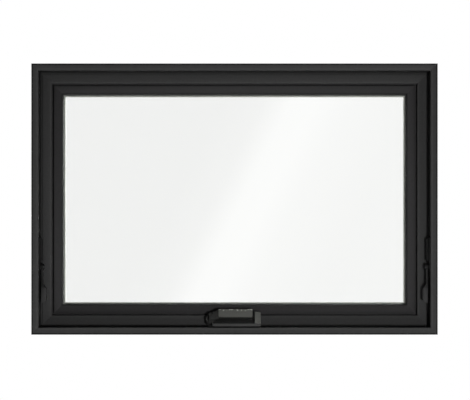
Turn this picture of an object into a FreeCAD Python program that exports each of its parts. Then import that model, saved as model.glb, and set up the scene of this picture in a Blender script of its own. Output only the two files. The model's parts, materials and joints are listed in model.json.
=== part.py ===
import FreeCAD, Part
import math
import os

# Top hung awning window, seen closed from the room side.
# Millimetres. X runs to the right as seen from the room, Y runs from the room to the weather
# side, Z runs up. The origin is the middle of the frame sill's underside.

# Overall size of the frame
FRAME_WIDTH = 914.0
FRAME_HEIGHT = 610.0
FRAME_DEPTH = 83.0

# Frame wall, the band that shows as the outer lip from the room
WALL = 16.0
WALL_EDGE_RADIUS = 1.5
WALL_OUTER_RADIUS = 2.0
FIN_GROOVE_WIDTH = 6.0
FIN_GROOVE_DEPTH = 4.0
FIN_GROOVE_FROM_WEATHER = 24.0

# Frame stop, the second band, stepped back from the lip
STOP_SETBACK = 36.0
STOP_REACH = 25.5
STOP_THICKNESS = 11.0
STOP_NOSE_RADIUS = 2.5
STOP_FACE_FALL = 1.6
STOP_QUIRK_WIDTH = 5.0
STOP_QUIRK_DEPTH = 1.4

# Weatherstrip bulb behind the stop
SEAL_GAP = 5.0
SEAL_WIDTH = 5.0
SEAL_FROM_NOSE = 4.0
SEAL_TIP_CLEARANCE = 0.3

# Sash section
REVEAL = 4.0
SASH_SIGHT = 21.0
SASH_FACE_SETBACK = 6.0
SASH_LEG_THICKNESS = 13.0
HINGE_GAP = 14.0
WEATHER_REVEAL = 5.0
WEATHER_FLANGE_THICKNESS = 4.5
REBATE_DEPTH = 12.5
SASH_EDGE_RADIUS = 1.5
SASH_BEVEL = 3.0

# Sealed glass unit and glazing beads
PANE_THICKNESS = 3.2
PANE_GAP = 14.0
PANE_EDGE_CLEARANCE = 2.5
SPACER_INSET = 1.5
SPACER_SHOW = 3.5
BEAD_BEVEL = 4.0
BEAD_NOSE = 2.0

# Weep slots in the weather faces of the sill and of the sash's bottom rail, and
# installation holes in the jambs
WEEP_LENGTH = 26.0
WEEP_HEIGHT = 5.0
WEEP_DEPTH = 6.0
WEEP_FROM_END = 120.0
WEEP_RISE = 6.0
SASH_WEEP_LENGTH = 20.0
SASH_WEEP_HEIGHT = 3.6
SASH_WEEP_DEPTH = 5.0
SASH_WEEP_FROM_END = 165.0
SASH_WEEP_RISE = 15.0
SCREW_HOLE_RADIUS = 2.5
SCREW_HOLE_SPACING = 460.0
SCREW_HOLE_SETBACK = 19.5

# Operator cover on the sill
COVER_LEFT = 65.0
COVER_RIGHT = 59.0
COVER_TOP = 34.0
COVER_LIP_BOTTOM = 3.0
COVER_LIP_TOP = 9.5
COVER_PROUD = 5.5
COVER_FOOT_SETBACK = 11.0
COVER_LIP_LEFT = 49.0
COVER_LEFT_RADIUS = 15.0
COVER_RIGHT_RADIUS = 2.5
COVER_SLOPE = 35.0
TRAY_DEPTH = 12.0
CATCH_WIDTH = 13.6
CATCH_CLEARANCE = 5.0
CATCH_EDGE_RADIUS = 1.5

# Folding crank, in the sloping plane of the cover's tray
CRANK_PIVOT_X = -54.0
CRANK_PIVOT_RISE = 12.2
CRANK_AXIS_HEIGHT = 5.0
KNUCKLE_RADIUS = 4.2
KNUCKLE_WIDTH = 13.0
KNUCKLE_SIDE_GAP = 0.3
EAR_THICKNESS = 3.0
HUB_RADIUS = 10.7
HUB_THICKNESS = 5.7
HUB_POCKET_GAP = 1.0
HUB_SEAT_GAP = 0.3
EAR_FOOT_DROP = 6.0
SPINDLE_RADIUS = 4.0
SPINDLE_LENGTH = 12.0
SPINDLE_GAP = 0.3
PIN_RADIUS = 1.5
PIN_CLEARANCE = 0.05
NECK_LENGTH = 18.0
NECK_STEP = 3.6
NECK_START_GAP = 1.5
GRIP_WIDTH = 22.0
GRIP_THICKNESS = 7.0
GRIP_LIFT = 5.0
GRIP_OFFSET = 8.0
GRIP_STEP = 1.5
GRIP_EDGE_RADIUS = 1.2
GRIP_CORNER_RADIUS = 2.0
TANG_LENGTH = 60.0
TANG_WIDTH = 12.0
TANG_THICKNESS = 3.5
RIB_COUNT = 13
RIB_SPACING = 5.0
RIB_MARGIN = 6.0
RIB_WIDTH = 1.6
RIB_PROUD = 0.6

# Sash lock on each jamb
LOCK_PIVOT_HEIGHT = 152.0
LOCK_BASE_BELOW_PIVOT = 14.0
LOCK_BASE_LENGTH = 84.0
LOCK_BASE_DEPTH = 20.0
LOCK_BASE_THICKNESS = 2.5
LOCK_BASE_RADIUS = 6.0
LOCK_PIVOT_FROM_STOP = 17.5
LOCK_HOUSING_ABOVE_PIVOT = 13.0
LOCK_HOUSING_LENGTH = 53.0
LOCK_HOUSING_DEPTH = 13.0
LOCK_HOUSING_TOP_DEPTH = 9.0
LOCK_HOUSING_HEIGHT = 5.0
LOCK_HOUSING_DRAFT = 1.8
LOCK_BOSS_RADIUS = 6.0
LOCK_BOSS_GAP = 0.3
LEVER_WALL_GAP = 5.0
LEVER_HUB_RADIUS = 7.0
LEVER_THICKNESS = 3.2
LEVER_HUB_THICKNESS = 5.0
LEVER_STEM_WIDTH = 9.0
LEVER_STEM_END_WIDTH = 12.0
LEVER_REACH = 82.0
PADDLE_HEIGHT = 42.0
PADDLE_WIDTH = 11.0
PADDLE_DEPTH = 14.0
PADDLE_SHOULDER_WIDTH = 6.5
PADDLE_SHOULDER_HEIGHT = 10.0
PADDLE_FOOT_HEIGHT = 7.0
PADDLE_RADIUS = 0.8
LOCK_PIN_RADIUS = 3.0
LOCK_PIN_HEAD_RADIUS = 4.6
LOCK_PIN_HEAD_THICKNESS = 1.2

# Hinge on each side, in the gap between the jamb and the sash stile
TRACK_LOW = 320.0
TRACK_END_CLEARANCE = 12.0
TRACK_WIDTH = 18.0
TRACK_SHEET = 1.6
TRACK_LIP = 3.4
HINGE_STRAP_WIDTH = 14.0
HINGE_STRAP_THICKNESS = 2.4
HINGE_PIVOT_RISE = 16.0
HINGE_LINK_LENGTH = 118.0
HINGE_LINK_GAP = 1.0
HINGE_PIN_RADIUS = 2.5

# Length of the cutting shapes, well beyond the hardware, and the slack for finding edges
BEYOND = 150.0
TOUCH = 1e-3

# Places that follow from the sizes above
HALF_WIDTH = FRAME_WIDTH / 2.0
ROOM_Y = -FRAME_DEPTH / 2.0
WEATHER_Y = FRAME_DEPTH / 2.0
STOP_FACE_Y = ROOM_Y + STOP_SETBACK
STOP_BACK_Y = STOP_FACE_Y + STOP_THICKNESS
STOP_NOSE_U = WALL + STOP_REACH
SASH_LEG_U = STOP_NOSE_U + REVEAL
SIGHT_U = SASH_LEG_U + SASH_SIGHT
SASH_FACE_Y = STOP_FACE_Y + SASH_FACE_SETBACK
SASH_SEAT_Y = STOP_BACK_Y + SEAL_GAP
SASH_SIDE_U = WALL + HINGE_GAP
FLANGE_Y = WEATHER_Y - WEATHER_FLANGE_THICKNESS
GLASS_Y = SASH_FACE_Y + SASH_LEG_THICKNESS
REBATE_U = SIGHT_U - REBATE_DEPTH
PANE_U = REBATE_U + PANE_EDGE_CLEARANCE
OUTER_PANE_Y = GLASS_Y + PANE_THICKNESS + PANE_GAP
BEAD_Y = OUTER_PANE_Y + PANE_THICKNESS
SPACER_U = PANE_U + SPACER_INSET
SPACER_SIGHT_U = SIGHT_U + SPACER_SHOW

X_AXIS = FreeCAD.Vector(1, 0, 0)
Y_AXIS = FreeCAD.Vector(0, 1, 0)


def vec(x, y, z):
    return FreeCAD.Vector(x, y, z)


def polygon(points):
    """A closed wire through the points."""
    return Part.makePolygon(points + [points[0]])


def prism(points, travel):
    """A solid swept straight from the outline by the travel vector."""
    return Part.Face(polygon(points)).extrude(travel)


def edges_along(shape, direction, test):
    """Straight edges of the shape that run along the direction and pass the test."""
    chosen = []
    for edge in shape.Edges:
        if len(edge.Vertexes) != 2:
            continue
        ends = edge.Vertexes[1].Point.sub(edge.Vertexes[0].Point)
        if ends.Length < TOUCH:
            continue
        across = ends.normalize().cross(direction).Length
        if across < TOUCH and test(edge.CenterOfMass):
            chosen.append(edge)
    return chosen


# Members of the frame and sash: one section, cut at 45 degrees at both ends.
# A section's points are (y, u), where u is the distance in from the frame's outer edge.

def section_solid(section, length, rounds):
    """The section run along X, with the listed corners (y, u, radius) rounded."""
    points = [vec(-length / 2.0, y, u) for y, u in section]
    solid = prism(points, vec(length, 0, 0))
    for corner_y, corner_u, radius in rounds:
        def near(middle, y=corner_y, u=corner_u):
            return abs(middle.y - y) < TOUCH and abs(middle.z - u) < TOUCH
        solid = solid.makeFillet(radius, edges_along(solid, X_AXIS, near))
    return solid


def mitred(solid, length, low_u, high_u):
    """The member with both ends cut at 45 degrees, so that it meets its neighbours."""
    half = length / 2.0
    outline = [
        vec(-half + low_u, -FRAME_DEPTH, low_u),
        vec(half - low_u, -FRAME_DEPTH, low_u),
        vec(half - high_u, -FRAME_DEPTH, high_u),
        vec(-half + high_u, -FRAME_DEPTH, high_u),
    ]
    return solid.common(prism(outline, vec(0, 2.0 * FRAME_DEPTH, 0)))


def place_member(solid, side):
    """Turn a member made for the sill to its own side of the frame."""
    placed = solid.copy()
    origin = vec(0, 0, 0)
    if side == "top":
        placed.rotate(origin, Y_AXIS, 180)
        placed.translate(vec(0, 0, FRAME_HEIGHT))
    elif side == "left":
        placed.rotate(origin, Y_AXIS, 90)
        placed.translate(vec(-HALF_WIDTH, 0, FRAME_HEIGHT / 2.0))
    elif side == "right":
        placed.rotate(origin, Y_AXIS, -90)
        placed.translate(vec(HALF_WIDTH, 0, FRAME_HEIGHT / 2.0))
    return placed


def ring(section, rounds, names):
    """Four mitred members of one section; names maps each side to its node."""
    low_u = min(u for y, u in section)
    high_u = max(u for y, u in section)
    members = {}
    for side, node in names.items():
        length = FRAME_WIDTH if side in ("bottom", "top") else FRAME_HEIGHT
        solid = section_solid(section, length, rounds)
        members[node] = place_member(mitred(solid, length, low_u, high_u), side)
    return members


def frame_wall():
    """Outer walls of the frame, with a groove for fixing clips round the outside."""
    groove_near = WEATHER_Y - FIN_GROOVE_FROM_WEATHER
    groove_far = groove_near + FIN_GROOVE_WIDTH
    section = [
        (ROOM_Y, 0.0),
        (groove_near, 0.0),
        (groove_near, FIN_GROOVE_DEPTH),
        (groove_far, FIN_GROOVE_DEPTH),
        (groove_far, 0.0),
        (WEATHER_Y, 0.0),
        (WEATHER_Y, WALL),
        (ROOM_Y, WALL),
    ]
    rounds = [
        (ROOM_Y, WALL, WALL_EDGE_RADIUS),
        (ROOM_Y, 0.0, WALL_OUTER_RADIUS),
        (WEATHER_Y, WALL, WALL_EDGE_RADIUS),
    ]
    names = {
        "bottom": "frame_sill",
        "top": "frame_head",
        "left": "frame_jamb_left",
        "right": "frame_jamb_right",
    }
    members = ring(section, rounds, names)
    slots = drain_slots(WEEP_FROM_END, WEEP_RISE, WEEP_LENGTH, WEEP_HEIGHT, WEEP_DEPTH)
    members["frame_sill"] = members["frame_sill"].cut(slots)
    for node, side in (("frame_jamb_left", -1), ("frame_jamb_right", 1)):
        members[node] = members[node].cut(screw_holes(side))
    return members


def drain_slots(from_end, rise, slot_length, slot_height, depth):
    """Two round-ended slots in the weather face, one near each end of the window."""
    slots = []
    radius = slot_height / 2.0
    near_y = WEATHER_Y - depth
    straight = slot_length - slot_height
    for side in (-1, 1):
        middle_x = side * (HALF_WIDTH - from_end)
        body = Part.makeBox(straight, depth, slot_height)
        body.translate(vec(middle_x - straight / 2.0, near_y, rise))
        for end in (-1, 1):
            start = vec(middle_x + end * straight / 2.0, near_y, rise + radius)
            body = body.fuse(Part.makeCylinder(radius, depth, start, Y_AXIS))
        slots.append(body)
    return Part.makeCompound(slots)


def screw_holes(side):
    """Installation holes through one jamb, in front of the stop."""
    holes = []
    for step in (-0.5, 0.5):
        start = vec(
            side * (HALF_WIDTH + WALL),
            ROOM_Y + SCREW_HOLE_SETBACK,
            FRAME_HEIGHT / 2.0 + step * SCREW_HOLE_SPACING,
        )
        holes.append(Part.makeCylinder(SCREW_HOLE_RADIUS, 3.0 * WALL, start, vec(-side, 0, 0)))
    return Part.makeCompound(holes)


def frame_stop():
    """The stepped band inside the walls: a quirk, a falling face and a rounded nose."""
    quirk_u = WALL + STOP_QUIRK_WIDTH
    section = [
        (STOP_FACE_Y + STOP_QUIRK_DEPTH, WALL),
        (STOP_FACE_Y + STOP_QUIRK_DEPTH, quirk_u - STOP_QUIRK_DEPTH),
        (STOP_FACE_Y, quirk_u),
        (STOP_FACE_Y + STOP_FACE_FALL, STOP_NOSE_U),
        (STOP_BACK_Y, STOP_NOSE_U),
        (STOP_BACK_Y, WALL),
    ]
    rounds = [(STOP_FACE_Y + STOP_FACE_FALL, STOP_NOSE_U, STOP_NOSE_RADIUS)]
    names = {
        "bottom": "stop_sill",
        "top": "stop_head",
        "left": "stop_jamb_left",
        "right": "stop_jamb_right",
    }
    return ring(section, rounds, names)


def weatherstrip():
    """A soft bulb of D section on the back of the stop, just clear of the sash."""
    high_u = STOP_NOSE_U - SEAL_FROM_NOSE
    low_u = high_u - SEAL_WIDTH
    tip_y = SASH_SEAT_Y - SEAL_TIP_CLEARANCE
    members = {}
    names = {
        "bottom": "weatherstrip_sill",
        "top": "weatherstrip_head",
        "left": "weatherstrip_jamb_left",
        "right": "weatherstrip_jamb_right",
    }
    for side, node in names.items():
        length = FRAME_WIDTH if side in ("bottom", "top") else FRAME_HEIGHT
        x = -length / 2.0
        low = vec(x, STOP_BACK_Y, low_u)
        high = vec(x, STOP_BACK_Y, high_u)
        tip = vec(x, tip_y, (low_u + high_u) / 2.0)
        wire = Part.Wire([Part.makeLine(low, high), Part.Arc(high, tip, low).toShape()])
        solid = Part.Face(wire).extrude(vec(length, 0, 0))
        members[node] = place_member(mitred(solid, length, low_u, high_u), side)
    return members


def sash():
    """Sash members: a leg towards the room, a glass rebate and a cover flange outside."""
    flange_u = WALL + WEATHER_REVEAL
    section = [
        (SASH_FACE_Y, SASH_LEG_U),
        (SASH_SEAT_Y, SASH_LEG_U),
        (SASH_SEAT_Y, SASH_SIDE_U),
        (FLANGE_Y, SASH_SIDE_U),
        (FLANGE_Y, flange_u),
        (WEATHER_Y, flange_u),
        (WEATHER_Y, REBATE_U),
        (GLASS_Y, REBATE_U),
        (GLASS_Y, SIGHT_U),
        (SASH_FACE_Y + SASH_BEVEL, SIGHT_U),
        (SASH_FACE_Y, SIGHT_U - SASH_BEVEL),
    ]
    rounds = [
        (SASH_FACE_Y, SASH_LEG_U, SASH_EDGE_RADIUS),
        (WEATHER_Y, flange_u, SASH_EDGE_RADIUS),
    ]
    names = {
        "bottom": "sash_bottom_rail",
        "top": "sash_top_rail",
        "left": "sash_stile_left",
        "right": "sash_stile_right",
    }
    members = ring(section, rounds, names)
    slots = drain_slots(
        SASH_WEEP_FROM_END,
        flange_u + SASH_WEEP_RISE,
        SASH_WEEP_LENGTH,
        SASH_WEEP_HEIGHT,
        SASH_WEEP_DEPTH,
    )
    members["sash_bottom_rail"] = members["sash_bottom_rail"].cut(slots)
    return members


def pane(front_y):
    """One sheet of glass, set in from the rebate by its edge clearance."""
    width = FRAME_WIDTH - 2.0 * PANE_U
    height = FRAME_HEIGHT - 2.0 * PANE_U
    return Part.makeBox(width, PANE_THICKNESS, height, vec(-width / 2.0, front_y, PANE_U))


def spacers():
    """Four bars between the panes; their inner side shows just inside the sash."""
    near = GLASS_Y + PANE_THICKNESS
    section = [
        (near, SPACER_U),
        (OUTER_PANE_Y, SPACER_U),
        (OUTER_PANE_Y, SPACER_SIGHT_U),
        (near, SPACER_SIGHT_U),
    ]
    names = {
        "bottom": "spacer_bottom",
        "top": "spacer_top",
        "left": "spacer_left",
        "right": "spacer_right",
    }
    return ring(section, [], names)


def beads():
    """Bevelled glazing beads that hold the glass from the weather side."""
    section = [
        (BEAD_Y, REBATE_U),
        (BEAD_Y, SIGHT_U),
        (BEAD_Y + BEAD_NOSE, SIGHT_U),
        (WEATHER_Y, SIGHT_U - BEAD_BEVEL),
        (WEATHER_Y, REBATE_U),
    ]
    names = {
        "bottom": "bead_bottom",
        "top": "bead_top",
        "left": "bead_left",
        "right": "bead_right",
    }
    return ring(section, [], names)


# The operator. The floor of its tray is a sloping plane: "rise" runs up the slope and "out"
# stands square to it, towards the room. It starts at the level of the cover's front lip.

SLOPE = math.radians(COVER_SLOPE)
RISE = vec(0, math.sin(SLOPE), math.cos(SLOPE))
OUT = vec(0, -math.cos(SLOPE), math.sin(SLOPE))
COVER_FRONT_Y = ROOM_Y - COVER_PROUD
COVER_LIP_Z = WALL + COVER_LIP_TOP
TRAY_FLOOR_Y = COVER_FRONT_Y + TRAY_DEPTH / math.cos(SLOPE)
HUB_TOP = CRANK_AXIS_HEIGHT - EAR_FOOT_DROP
HUB_BACK = HUB_TOP - HUB_THICKNESS
DECK = HUB_BACK - HUB_SEAT_GAP
CATCH_LEFT_X = COVER_RIGHT - CATCH_WIDTH
GRIP_END_X = CATCH_LEFT_X - CATCH_CLEARANCE
NECK_END_X = CRANK_PIVOT_X + NECK_LENGTH


def tray_point(x, rise, out):
    """A point given by its place along the tray, up its slope and out from it."""
    return vec(x, TRAY_FLOOR_Y, COVER_LIP_Z) + RISE * rise + OUT * out


def tray_box(x_low, x_high, rise_low, rise_high, out_low, out_high):
    """A block whose sides follow the tray's slope."""
    corners = [
        tray_point(x_low, rise_low, out_low),
        tray_point(x_low, rise_high, out_low),
        tray_point(x_low, rise_high, out_high),
        tray_point(x_low, rise_low, out_high),
    ]
    return prism(corners, vec(x_high - x_low, 0, 0))


def cover_wedge():
    """The cover's side view: foot on the sill, proud front lip, sloping front, flat top."""
    top_z = WALL + COVER_TOP
    slope_run = (top_z - COVER_LIP_Z) * math.tan(SLOPE)
    foot_y = COVER_FRONT_Y + COVER_FOOT_SETBACK
    lip_low_z = WALL + COVER_LIP_BOTTOM
    outline = [
        vec(-COVER_LEFT, STOP_FACE_Y, WALL),
        vec(-COVER_LEFT, foot_y, WALL),
        vec(-COVER_LEFT, foot_y - COVER_LIP_BOTTOM, lip_low_z),
        vec(-COVER_LEFT, COVER_FRONT_Y, lip_low_z),
        vec(-COVER_LEFT, COVER_FRONT_Y, COVER_LIP_Z),
        vec(-COVER_LEFT, COVER_FRONT_Y + slope_run, top_z),
        vec(-COVER_LEFT, STOP_FACE_Y, top_z),
    ]
    return prism(outline, vec(COVER_LEFT + COVER_RIGHT, 0, 0))


def cover_outline():
    """The cover's front view, with a large radius at the left and small ones at the right."""
    low = vec(-COVER_LEFT, 2.0 * ROOM_Y, WALL)
    block = Part.makeBox(COVER_LEFT + COVER_RIGHT, FRAME_DEPTH * 2.0, COVER_TOP, low)

    def left(middle):
        return middle.x < -COVER_LEFT + TOUCH

    def right_top(middle):
        return middle.x > COVER_RIGHT - TOUCH and middle.z > WALL + TOUCH

    block = block.makeFillet(COVER_LEFT_RADIUS, edges_along(block, Y_AXIS, left))
    return block.makeFillet(COVER_RIGHT_RADIUS, edges_along(block, Y_AXIS, right_top))


def tray_space(low_x, high_x):
    """The space in front of the tray's floor and above the lip, between two places."""
    outline = [
        vec(low_x, COVER_FRONT_Y - BEYOND, COVER_LIP_Z),
        tray_point(low_x, 0.0, 0.0),
        tray_point(low_x, BEYOND, 0.0),
        tray_point(low_x, BEYOND, BEYOND),
    ]
    return prism(outline, vec(high_x - low_x, 0, 0))


def operator_cover():
    """Moulded cover: a tray for the folded crank and a low deck for the hub."""
    cover = cover_wedge().common(cover_outline())
    deck_cut = tray_box(-BEYOND, -COVER_LIP_LEFT, -BEYOND, BEYOND, DECK, BEYOND)
    pocket_start = tray_point(CRANK_PIVOT_X, CRANK_PIVOT_RISE, DECK)
    pocket = Part.makeCylinder(HUB_RADIUS + HUB_POCKET_GAP, BEYOND, pocket_start, OUT)
    socket_start = tray_point(CRANK_PIVOT_X, CRANK_PIVOT_RISE, HUB_BACK - SPINDLE_LENGTH)
    socket = Part.makeCylinder(SPINDLE_RADIUS + SPINDLE_GAP, BEYOND, socket_start, OUT)
    cover = cover.cut(deck_cut).cut(tray_space(-COVER_LIP_LEFT, BEYOND))
    return cover.cut(pocket).cut(socket)


def crank_catch():
    """Block that closes the tray beyond the tip of the folded crank."""
    catch = cover_wedge().common(cover_outline()).common(tray_space(CATCH_LEFT_X, BEYOND))
    floor = tray_point(0.0, 0.0, 0.0)

    def front_left(middle):
        raised = (middle - floor).dot(OUT) > CATCH_EDGE_RADIUS
        return raised and abs(middle.x - CATCH_LEFT_X) < TOUCH

    return catch.makeFillet(CATCH_EDGE_RADIUS, edges_along(catch, RISE, front_left))


def crank_hub():
    """Round hub on the spindle, with two ears that hold the crank's hinge pin."""
    start = tray_point(CRANK_PIVOT_X, CRANK_PIVOT_RISE, HUB_BACK)
    hub = Part.makeCylinder(HUB_RADIUS, HUB_THICKNESS, start, OUT)
    inner = KNUCKLE_WIDTH / 2.0 + KNUCKLE_SIDE_GAP
    for side in (-1, 1):
        low = CRANK_PIVOT_RISE + side * inner
        high = CRANK_PIVOT_RISE + side * (inner + EAR_THICKNESS)
        near, far = min(low, high), max(low, high)
        ear = tray_box(
            CRANK_PIVOT_X - KNUCKLE_RADIUS,
            CRANK_PIVOT_X + KNUCKLE_RADIUS,
            near,
            far,
            HUB_BACK,
            CRANK_AXIS_HEIGHT,
        )
        crown_start = tray_point(CRANK_PIVOT_X, near, CRANK_AXIS_HEIGHT)
        ear = ear.fuse(Part.makeCylinder(KNUCKLE_RADIUS, EAR_THICKNESS, crown_start, RISE))
        hub = hub.fuse(ear)
    pin_low = CRANK_PIVOT_RISE - inner - 2.0 * EAR_THICKNESS
    pin_start = tray_point(CRANK_PIVOT_X, pin_low, CRANK_AXIS_HEIGHT)
    hole = Part.makeCylinder(PIN_RADIUS, 2.0 * inner + 4.0 * EAR_THICKNESS, pin_start, RISE)
    return hub.cut(hole).removeSplitter()


def crank_pin():
    """The hinge pin, flush with the outside of both ears."""
    half = KNUCKLE_WIDTH / 2.0 + KNUCKLE_SIDE_GAP + EAR_THICKNESS
    start = tray_point(CRANK_PIVOT_X, CRANK_PIVOT_RISE - half, CRANK_AXIS_HEIGHT)
    return Part.makeCylinder(PIN_RADIUS, 2.0 * half, start, RISE)


def crank_spindle():
    """The operator's spindle, from inside the cover to the underside of the hub."""
    start = tray_point(CRANK_PIVOT_X, CRANK_PIVOT_RISE, HUB_BACK - SPINDLE_LENGTH)
    return Part.makeCylinder(SPINDLE_RADIUS, SPINDLE_LENGTH, start, OUT)


def grip_tang():
    """Flat end of the crank arm, which fills the slot in the grip."""
    middle_rise = GRIP_OFFSET + GRIP_WIDTH / 2.0
    middle_out = GRIP_LIFT + GRIP_THICKNESS / 2.0
    return tray_box(
        NECK_END_X,
        NECK_END_X + TANG_LENGTH,
        middle_rise - TANG_WIDTH / 2.0,
        middle_rise + TANG_WIDTH / 2.0,
        middle_out - TANG_THICKNESS / 2.0,
        middle_out + TANG_THICKNESS / 2.0,
    )


def crank_arm():
    """Bent neck on the hinge pin, which widens from the knuckle to the grip."""
    front = GRIP_LIFT + GRIP_THICKNESS - GRIP_STEP
    low = CRANK_AXIS_HEIGHT - KNUCKLE_RADIUS
    high = CRANK_AXIS_HEIGHT + KNUCKLE_RADIUS
    side_view = prism(
        [
            tray_point(CRANK_PIVOT_X, -GRIP_WIDTH, low),
            tray_point(NECK_END_X, -GRIP_WIDTH, GRIP_LIFT),
            tray_point(NECK_END_X, -GRIP_WIDTH, front),
            tray_point(CRANK_PIVOT_X, -GRIP_WIDTH, high),
        ],
        RISE * BEYOND,
    )
    knuckle_start = tray_point(CRANK_PIVOT_X, -GRIP_WIDTH, CRANK_AXIS_HEIGHT)
    side_view = side_view.fuse(Part.makeCylinder(KNUCKLE_RADIUS, BEYOND, knuckle_start, RISE))
    knuckle_low = CRANK_PIVOT_RISE - KNUCKLE_WIDTH / 2.0
    knuckle_high = CRANK_PIVOT_RISE + KNUCKLE_WIDTH / 2.0
    clear_x = CRANK_PIVOT_X + KNUCKLE_RADIUS + NECK_START_GAP
    plan = prism(
        [
            tray_point(CRANK_PIVOT_X - 2.0 * KNUCKLE_RADIUS, knuckle_low, -TRAY_DEPTH),
            tray_point(clear_x, knuckle_low, -TRAY_DEPTH),
            tray_point(NECK_END_X, GRIP_OFFSET, -TRAY_DEPTH),
            tray_point(NECK_END_X, GRIP_OFFSET + GRIP_WIDTH, -TRAY_DEPTH),
            tray_point(clear_x, knuckle_high + NECK_STEP, -TRAY_DEPTH),
            tray_point(clear_x, knuckle_high, -TRAY_DEPTH),
            tray_point(CRANK_PIVOT_X - 2.0 * KNUCKLE_RADIUS, knuckle_high, -TRAY_DEPTH),
        ],
        OUT * BEYOND,
    )
    arm = side_view.common(plan).fuse(grip_tang()).removeSplitter()
    pin_start = tray_point(CRANK_PIVOT_X, -GRIP_WIDTH, CRANK_AXIS_HEIGHT)
    hole = Part.makeCylinder(PIN_RADIUS + PIN_CLEARANCE, BEYOND, pin_start, RISE)
    return arm.cut(hole)


def crank_grip():
    """Wide grip on the arm's tang, with ribs for the fingertips along its lower side."""
    front = GRIP_LIFT + GRIP_THICKNESS
    high = GRIP_OFFSET + GRIP_WIDTH
    grip = tray_box(NECK_END_X, GRIP_END_X, GRIP_OFFSET, high, GRIP_LIFT, front)
    front_point = tray_point(0.0, 0.0, front)

    def end_corner(middle):
        return abs(middle.x - GRIP_END_X) < TOUCH

    def front_edge(middle):
        return abs((middle - front_point).dot(OUT)) < TOUCH

    grip = grip.makeFillet(GRIP_CORNER_RADIUS, edges_along(grip, OUT, end_corner))
    grip = grip.makeFillet(GRIP_EDGE_RADIUS, edges_along(grip, X_AXIS, front_edge))
    for number in range(RIB_COUNT):
        rib_x = NECK_END_X + RIB_MARGIN + number * RIB_SPACING
        rib = tray_box(
            rib_x,
            rib_x + RIB_WIDTH,
            GRIP_OFFSET - RIB_PROUD,
            GRIP_OFFSET + RIB_PROUD,
            GRIP_LIFT + GRIP_EDGE_RADIUS,
            front - GRIP_EDGE_RADIUS,
        )
        grip = grip.fuse(rib)
    return grip.removeSplitter().cut(grip_tang())


# The locks are drawn for the right jamb and mirrored for the left one.
# In them, u is the distance in from the frame's outer edge, so x = HALF_WIDTH - u.

def lock_x(u):
    return HALF_WIDTH - u


LOCK_PIVOT_Y = STOP_FACE_Y - LOCK_PIVOT_FROM_STOP
LEVER_BACK_U = WALL + LEVER_WALL_GAP
LOCK_BASE_LOW = LOCK_PIVOT_HEIGHT - LOCK_BASE_BELOW_PIVOT
LOCK_BASE_HIGH = LOCK_BASE_LOW + LOCK_BASE_LENGTH
LOCK_HOUSING_LOW = LOCK_PIVOT_HEIGHT + LOCK_HOUSING_ABOVE_PIVOT
LOCK_HOUSING_HIGH = LOCK_HOUSING_LOW + LOCK_HOUSING_LENGTH
PADDLE_LOW = LOCK_PIVOT_HEIGHT - LEVER_REACH
PADDLE_HIGH = PADDLE_LOW + PADDLE_HEIGHT
INWARD = vec(-1, 0, 0)


def rounded_plate(u_low, thickness, y_low, y_high, z_low, z_high, radius):
    """A plate against the jamb, with rounded corners."""
    start = vec(lock_x(u_low + thickness), y_low, z_low)
    plate = Part.makeBox(thickness, y_high - y_low, z_high - z_low, start)
    return plate.makeFillet(radius, edges_along(plate, X_AXIS, lambda middle: True))


def lock_base():
    """Base plate on the jamb, a tapering housing above the lever and a boss for its pin."""
    half = LOCK_BASE_DEPTH / 2.0
    base = rounded_plate(
        WALL,
        LOCK_BASE_THICKNESS,
        LOCK_PIVOT_Y - half,
        LOCK_PIVOT_Y + half,
        LOCK_BASE_LOW,
        LOCK_BASE_HIGH,
        LOCK_BASE_RADIUS,
    )
    housing = lock_housing()
    boss_u = LEVER_BACK_U - LOCK_BOSS_GAP
    boss_start = vec(lock_x(WALL), LOCK_PIVOT_Y, LOCK_PIVOT_HEIGHT)
    boss = Part.makeCylinder(LOCK_BOSS_RADIUS, boss_u - WALL, boss_start, INWARD)
    hole = Part.makeCylinder(LOCK_PIN_RADIUS, boss_u - WALL, boss_start, INWARD)
    return base.fuse(housing).fuse(boss).removeSplitter().cut(hole)


def lock_housing():
    """Housing that tapers towards its top and away from the jamb."""
    def frame_at(u, shrink):
        low = LOCK_HOUSING_DEPTH / 2.0 - shrink
        high = LOCK_HOUSING_TOP_DEPTH / 2.0 - shrink
        return polygon([
            vec(lock_x(u), LOCK_PIVOT_Y - low, LOCK_HOUSING_LOW + shrink),
            vec(lock_x(u), LOCK_PIVOT_Y + low, LOCK_HOUSING_LOW + shrink),
            vec(lock_x(u), LOCK_PIVOT_Y + high, LOCK_HOUSING_HIGH - shrink),
            vec(lock_x(u), LOCK_PIVOT_Y - high, LOCK_HOUSING_HIGH - shrink),
        ])
    top_u = WALL + LOCK_BASE_THICKNESS + LOCK_HOUSING_HEIGHT
    return Part.makeLoft([frame_at(WALL, 0.0), frame_at(top_u, LOCK_HOUSING_DRAFT)], True, True)


def lock_pin():
    """Pin through the base's boss and the lever's hub, with a round head."""
    start = vec(lock_x(WALL), LOCK_PIVOT_Y, LOCK_PIVOT_HEIGHT)
    shank = LEVER_WALL_GAP + LEVER_HUB_THICKNESS + LOCK_BOSS_GAP
    pin = Part.makeCylinder(LOCK_PIN_RADIUS, shank, start, INWARD)
    head_start = vec(lock_x(WALL + shank), LOCK_PIVOT_Y, LOCK_PIVOT_HEIGHT)
    head = Part.makeCylinder(LOCK_PIN_HEAD_RADIUS, LOCK_PIN_HEAD_THICKNESS, head_start, INWARD)
    return pin.fuse(head).removeSplitter()


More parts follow.
